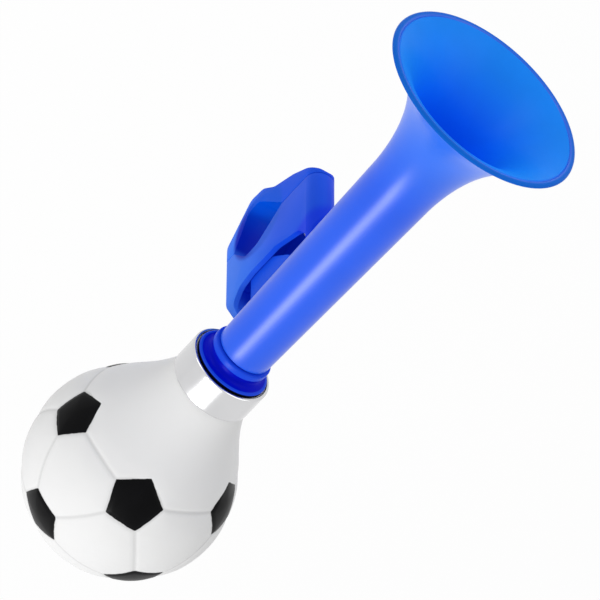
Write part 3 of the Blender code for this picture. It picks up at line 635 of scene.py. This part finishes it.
def moulding_from(node, name, material, soften, limit=25.0):
    """A copy of a model node with its facets merged and its edges rounded."""
    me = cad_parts[node].data.copy()
    me.name = name
    me.materials.clear()
    me.materials.append(material)
    ob = bpy.data.objects.new(name, me)
    bpy.context.scene.collection.objects.link(ob)
    weld = ob.modifiers.new("Weld", 'WELD')
    weld.merge_threshold = 0.00001
    flat = ob.modifiers.new("Flats", 'DECIMATE')
    flat.decimate_type = 'DISSOLVE'
    flat.angle_limit = math.radians(1.0)
    edge = ob.modifiers.new("Edges", 'BEVEL')
    edge.width = soften
    edge.segments = 3
    edge.limit_method = 'ANGLE'
    edge.angle_limit = math.radians(limit)
    edge.harden_normals = False
    bpy.context.view_layer.update()
    made = bpy.data.meshes.new_from_object(ob.evaluated_get(bpy.context.evaluated_depsgraph_get()))
    ob.modifiers.clear()
    ob.data = made
    made.name = name
    made.shade_smooth()
    made.set_sharp_from_angle(angle=math.radians(40))
    return ob


def place(ob, body, material_slot, *nodes):
    """Says what the piece rides on and which nodes it stands for; its material slot argument is not used."""
    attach(ob, body)
    if nodes:
        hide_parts(*nodes)


class HORN_OT_bulb(bpy.types.Operator):
    """Build the football bulb"""
    bl_idname = "horn.bulb"
    bl_label = "Football bulb"

    def execute(self, context):
        s = context.scene.horn_bulb
        place(football_skin(s, printed_vinyl(s)), "horn", "bulb", "ball_bulb")
        return {'FINISHED'}


class HORN_OT_ferrule(bpy.types.Operator):
    """Build the chromed ferrule with its lips turned in"""
    bl_idname = "horn.ferrule"
    bl_label = "Ferrule"

    def execute(self, context):
        back, front = float(FERRULE_LOW[0]), float(FERRULE_HIGH[0])
        outer = float(FERRULE_HIGH[2]) - AXIS_HEIGHT
        inner = outer - 0.5 * MM
        lip = 0.5 * MM
        mouth = float(COLLAR_HIGH[2]) - AXIS_HEIGHT + 0.3 * MM
        profile = np.vstack([
            [(back, inner)],
            arc((back + lip, outer - lip), lip, 180, 90, 10),
            line((back + 2 * lip, outer), (front - 2 * lip, outer), 12),
            arc((front - lip, outer - lip), lip, 90, 0, 10),
            [(front, mouth), (front - 1.2 * lip, mouth), (front - 2.2 * lip, inner)],
            line((front - 3 * lip, inner), (back + lip, inner), 8)])
        place(turned("ferrule_sleeve", profile, chrome_plate()), "horn", "chrome", "ferrule")
        return {'FINISHED'}


class HORN_OT_collar(bpy.types.Operator):
    """Build the stepped collar and its spigot"""
    bl_idname = "horn.collar"
    bl_label = "Collar"

    def execute(self, context):
        s = context.scene.horn_trumpet
        back, mouth = float(COLLAR_LOW[0]), float(COLLAR_HIGH[0])
        flange = float(COLLAR_HIGH[2]) - AXIS_HEIGHT - 0.30 * MM
        ring_width, groove_width, flange_width = 2.2 * MM, 3.0 * MM, 1.6 * MM
        face = mouth - ring_width - groove_width
        ring, groove, spigot = 9.4 * MM, 8.7 * MM, 10.0 * MM
        bore = s.tail_radius + 0.3 * MM
        shoulder = mouth - s.tail_length - 0.3 * MM
        seat, seat_radius, airway = back + 7.0 * MM, 8.3 * MM, 5.5 * MM
        parts = [
            ("", [(back, seat_radius), (back, spigot - 0.6 * MM), (back + 1.2 * MM, spigot),
                  (back + 3.4 * MM, spigot), (back + 3.5 * MM, spigot - 0.15 * MM), (back + 6.5 * MM, spigot),
                  (back + 6.6 * MM, spigot - 0.15 * MM)]),
            ("", line((face - flange_width, spigot), (face - flange_width, flange - 0.3 * MM), 3)),
            ("gap", arc((face - flange_width + 0.3 * MM, flange - 0.3 * MM), 0.3 * MM, 180, 90, 5)),
            ("gap", line((face - flange_width + 0.4 * MM, flange), (face - 0.6 * MM, flange), 3)),
            ("gap", arc((face - 0.55 * MM, flange - 0.55 * MM), 0.55 * MM, 90, 80, 3)),
            ("", arc((face - 0.55 * MM, flange - 0.55 * MM), 0.55 * MM, 72, 8, 7)),
            ("", line((face, flange - 0.65 * MM), (face + 0.02 * MM, flange - 0.9 * MM), 2)),
            ("groove", bezier((face + 0.02 * MM, flange - 1.0 * MM), (face + 0.25 * MM, flange - 2.2 * MM),
                              (face + 0.7 * MM, groove + 0.1 * MM), (face + 1.9 * MM, groove), 18)),
            ("groove", line((face + 2.0 * MM, groove), (mouth - ring_width - 0.15 * MM, groove), 3)),
            ("groove", arc((mouth - ring_width - 0.1 * MM, groove + 0.2 * MM), 0.2 * MM, -90, 0, 4)),
            ("", arc((mouth - ring_width + 0.45 * MM, ring - 0.45 * MM), 0.45 * MM, 180, 90, 6)),
            ("", arc((mouth - 0.5 * MM, ring - 0.5 * MM), 0.5 * MM, 90, 0, 7)),
            ("", [(mouth, bore + 0.2 * MM), (mouth - 0.2 * MM, bore), (shoulder, bore), (shoulder, airway),
                  (seat, airway), (seat, seat_radius)])]
        profile = np.vstack([points for _, points in parts])
        # the groove and gap fields mark where the collar gets painted shade
        fields = {name: np.concatenate([np.full(len(points), float(kind == name)) for kind, points in parts])
                  for name in ("groove", "gap")}
        material = moulded_plastic("collar_plastic", s.collar_blue, 0.30, s.collar_glow, 0.12, 0.03,
                                   collar_shading(s))
        place(turned("stepped_collar", profile, material, fields=fields), "horn", "collar", "reed_socket")
        return {'FINISHED'}


class HORN_OT_trumpet(bpy.types.Operator):
    """Build the trumpet and the lug under it"""
    bl_idname = "horn.trumpet"
    bl_label = "Trumpet"

    def execute(self, context):
        s = context.scene.horn_trumpet
        material = moulded_plastic("trumpet_plastic", s.blue, 0.32, s.tube_glow, 0.90, 0.01,
                                   bell_shading(s))
        place(trumpet_skin(s, material), "horn", "trumpet", "horn_tube")
        x0, x1 = s.lug_x, s.lug_x + s.lug_length
        top = AXIS_HEIGHT - s.root_radius + 1.0 * MM
        foot = AXIS_HEIGHT - s.lug_drop
        outline = rounded_outline([
            (x0, top, 0.4 * MM), (x0, foot, 1.2 * MM), (x0 + s.lug_length / 2, foot, 8.0 * MM),
            (x1 - 0.3 * MM, foot + 8.0 * MM, 5.0 * MM), (x1, top, 0.4 * MM)])
        lug = moulded_plastic("lug_plastic", s.clamp_blue, 0.36, s.clamp_glow, 0.08, 0.02)
        place(slab("trumpet_lug", outline, s.lug_thickness, 0.5 * MM, lug), "horn", "trumpet")
        return {'FINISHED'}


class HORN_OT_clamp(bpy.types.Operator):
    """Build the two halves of the handlebar clamp"""
    bl_idname = "horn.clamp"
    bl_label = "Clamp"

    def execute(self, context):
        s = context.scene.horn_trumpet
        material = moulded_plastic("clamp_plastic", s.clamp_blue, 0.36, s.clamp_glow, 0.08, 0.02,
                                   clamp_shading(s))
        place(moulding_from("clamp_base", "clamp_upper_half", material, 0.35 * MM), "horn", "clamp", "clamp_base")
        place(moulding_from("clamp_cap", "clamp_lower_half", material, 0.35 * MM), "cap", "clamp", "clamp_cap")
        return {'FINISHED'}


class HORN_OT_small_parts(bpy.types.Operator):
    """Finish the screws, the washer, the nut and the reed"""
    bl_idname = "horn.small_parts"
    bl_label = "Small parts"

    def execute(self, context):
        zinc = metal("zinc_plate", (0.62, 0.63, 0.66), 0.30)
        brass = metal("reed_brass", (0.80, 0.60, 0.24), 0.28)
        plug = rubber()
        for node, body, material, slot in (
                ("clamp_screw", "screw", zinc, "zinc"), ("clamp_washer", "cap", zinc, "zinc"),
                ("clamp_nut", "horn", zinc, "zinc"), ("lug_screw", "horn", zinc, "zinc"),
                ("reed_shallot", "horn", brass, "brass"), ("reed_wedge", "horn", brass, "brass"),
                ("reed_tongue", "tongue", brass, "brass"), ("reed_plug", "horn", plug, "plug")):
            place(moulding_from(node, node + "_finished", material, 0.06 * MM), body, slot, node)
        return {'FINISHED'}


def photo_axes(s):
    """The horn's axis, the handlebar's and the clamp's direction, in the camera's own axes."""
    along = Vector((math.cos(s.tilt) * math.cos(s.roll), math.cos(s.tilt) * math.sin(s.roll), math.sin(s.tilt)))
    across = Vector((-math.sin(s.roll), math.cos(s.roll), 0))
    down = across * math.cos(s.clamp_turn) - along.cross(across) * math.sin(s.clamp_turn)
    return along, along.cross(down), down


class HORN_OT_stage(bpy.types.Operator):
    """Set up the camera, the lamps, the floor and the world"""
    bl_idname = "horn.stage"
    bl_label = "Stage"

    def execute(self, context):
        s = context.scene.horn_stage
        scene = context.scene
        along, bar, down = photo_axes(s)
        turn = Matrix((along, bar, -down))
        start = Vector((s.start_x, 0, AXIS_HEIGHT))
        place_of = start - turn @ Vector((s.aside[0], s.aside[1], -s.distance))
        camera = bpy.data.objects.new("photo_camera", bpy.data.cameras.new("photo_camera"))
        camera.data.lens = s.lens
        camera.data.sensor_width = 36.0
        camera.data.clip_end = 20.0
        camera.matrix_world = Matrix.Translation(place_of) @ turn.to_4x4()
        scene.collection.objects.link(camera)
        scene.camera = camera
        middle = Vector((0.0, 0.0, AXIS_HEIGHT))
        for name, toward, distance, width, height, power in (
                ("key_lamp", (-0.68, -0.60, 0.42), 0.95, 0.28, 0.40, s.key_power),
                ("wide_lamp", (-0.50, -0.75, 0.43), 1.10, 0.50, 0.50, 1.2),
                ("top_lamp", (-0.10, 0.90, 0.45), 1.20, 0.80, 0.80, 3.5),
                ("side_lamp", (0.90, 0.10, 0.42), 1.20, 0.80, 0.80, 2.5)):
            lamp = bpy.data.lights.new(name, 'AREA')
            lamp.shape = 'RECTANGLE'
            lamp.size = width
            lamp.size_y = height
            lamp.energy = power
            ob = bpy.data.objects.new(name, lamp)
            at = middle + (turn @ Vector(toward)).normalized() * distance
            ob.matrix_world = Matrix.Translation(at) @ (at - middle).to_track_quat('Z', 'Y').to_matrix().to_4x4()
            scene.collection.objects.link(ob)
        floor_z = -s.floor_drop
        corners = [(-4, -4, floor_z), (4, -4, floor_z), (4, 4, floor_z), (-4, 4, floor_z)]
        floor = bpy.data.meshes.new("floor")
        floor.from_pydata(corners, [], [(0, 1, 2, 3)])
        floor.materials.append(pale_floor())
        ob = bpy.data.objects.new("floor", floor)
        scene.collection.objects.link(ob)
        scene.world = plain_world()
        scene.view_settings.view_transform = 'Standard'
        return {'FINISHED'}


def seen_directly(tree):
    """A socket that is one for what the camera sees, straight or mirrored, and nought for soft light."""
    path = tree.nodes.new('ShaderNodeLightPath')
    seen = path.outputs['Is Camera Ray']
    for name in ('Is Glossy Ray', 'Is Transmission Ray'):
        either = tree.nodes.new('ShaderNodeMath')
        either.operation = 'MAXIMUM'
        tree.links.new(seen, either.inputs[0])
        tree.links.new(path.outputs[name], either.inputs[1])
        seen = either.outputs[0]
    return seen


def pale_floor():
    """White floor that glows white to the camera and keeps a faint shadow."""
    m = bpy.data.materials.new("pale_floor")
    m.use_nodes = True
    tree = m.node_tree
    plain = tree.nodes["Principled BSDF"]
    plain.inputs["Base Color"].default_value = (0.85, 0.85, 0.85, 1)
    plain.inputs["Roughness"].default_value = 0.9
    glow = tree.nodes.new('ShaderNodeEmission')
    glow.inputs["Strength"].default_value = 1.0
    mix = tree.nodes.new('ShaderNodeMixShader')
    share = tree.nodes.new('ShaderNodeMath')
    share.operation = 'MULTIPLY'
    share.inputs[1].default_value = 0.9
    tree.links.new(seen_directly(tree), share.inputs[0])
    tree.links.new(share.outputs[0], mix.inputs[0])
    tree.links.new(plain.outputs[0], mix.inputs[1])
    tree.links.new(glow.outputs[0], mix.inputs[2])
    tree.links.new(mix.outputs[0], tree.nodes["Material Output"].inputs["Surface"])
    return m


def plain_world():
    """White where it is seen, dimmer as soft light."""
    w = bpy.data.worlds.new("studio")
    w.use_nodes = True
    tree = w.node_tree
    back = tree.nodes["Background"]
    back.inputs["Color"].default_value = (1, 1, 1, 1)
    level = tree.nodes.new('ShaderNodeMapRange')
    level.inputs['To Min'].default_value = 0.69
    level.inputs['To Max'].default_value = 1.0
    tree.links.new(seen_directly(tree), level.inputs['Value'])
    tree.links.new(level.outputs[0], back.inputs["Strength"])
    return w


class HORN_PT_panel(bpy.types.Panel):
    """Lists the horn's pieces and the stage"""
    bl_label = "Squeeze horn"
    bl_idname = "HORN_PT_panel"
    bl_space_type = 'VIEW_3D'
    bl_region_type = 'UI'
    bl_category = "Squeeze horn"

    def draw(self, context):
        for operator in OPERATORS:
            self.layout.operator(operator.bl_idname)
        for group in (context.scene.horn_bulb, context.scene.horn_trumpet, context.scene.horn_stage):
            box = self.layout.box()
            for key in group.bl_rna.properties.keys():
                if key not in {"rna_type", "name"}:
                    box.prop(group, key)


OPERATORS = (HORN_OT_bulb, HORN_OT_ferrule, HORN_OT_collar, HORN_OT_trumpet, HORN_OT_clamp,
             HORN_OT_small_parts, HORN_OT_stage)
GROUPS = {"horn_bulb": HornBulbSettings, "horn_trumpet": HornTrumpetSettings, "horn_stage": HornStageSettings}


def register():
    for cls in (*GROUPS.values(), *OPERATORS, HORN_PT_panel):
        bpy.utils.register_class(cls)
    for key, cls in GROUPS.items():
        setattr(bpy.types.Scene, key, PointerProperty(type=cls))


def unregister():
    for key in GROUPS:
        delattr(bpy.types.Scene, key)
    for cls in reversed((*GROUPS.values(), *OPERATORS, HORN_PT_panel)):
        bpy.utils.unregister_class(cls)


def main():
    register()
    bpy.ops.horn.bulb()
    bpy.ops.horn.ferrule()
    bpy.ops.horn.collar()
    bpy.ops.horn.trumpet()
    bpy.ops.horn.clamp()
    bpy.ops.horn.small_parts()
    bpy.ops.horn.stage()
    bpy.context.view_layer.update()


if __name__ == "__main__":
    main()
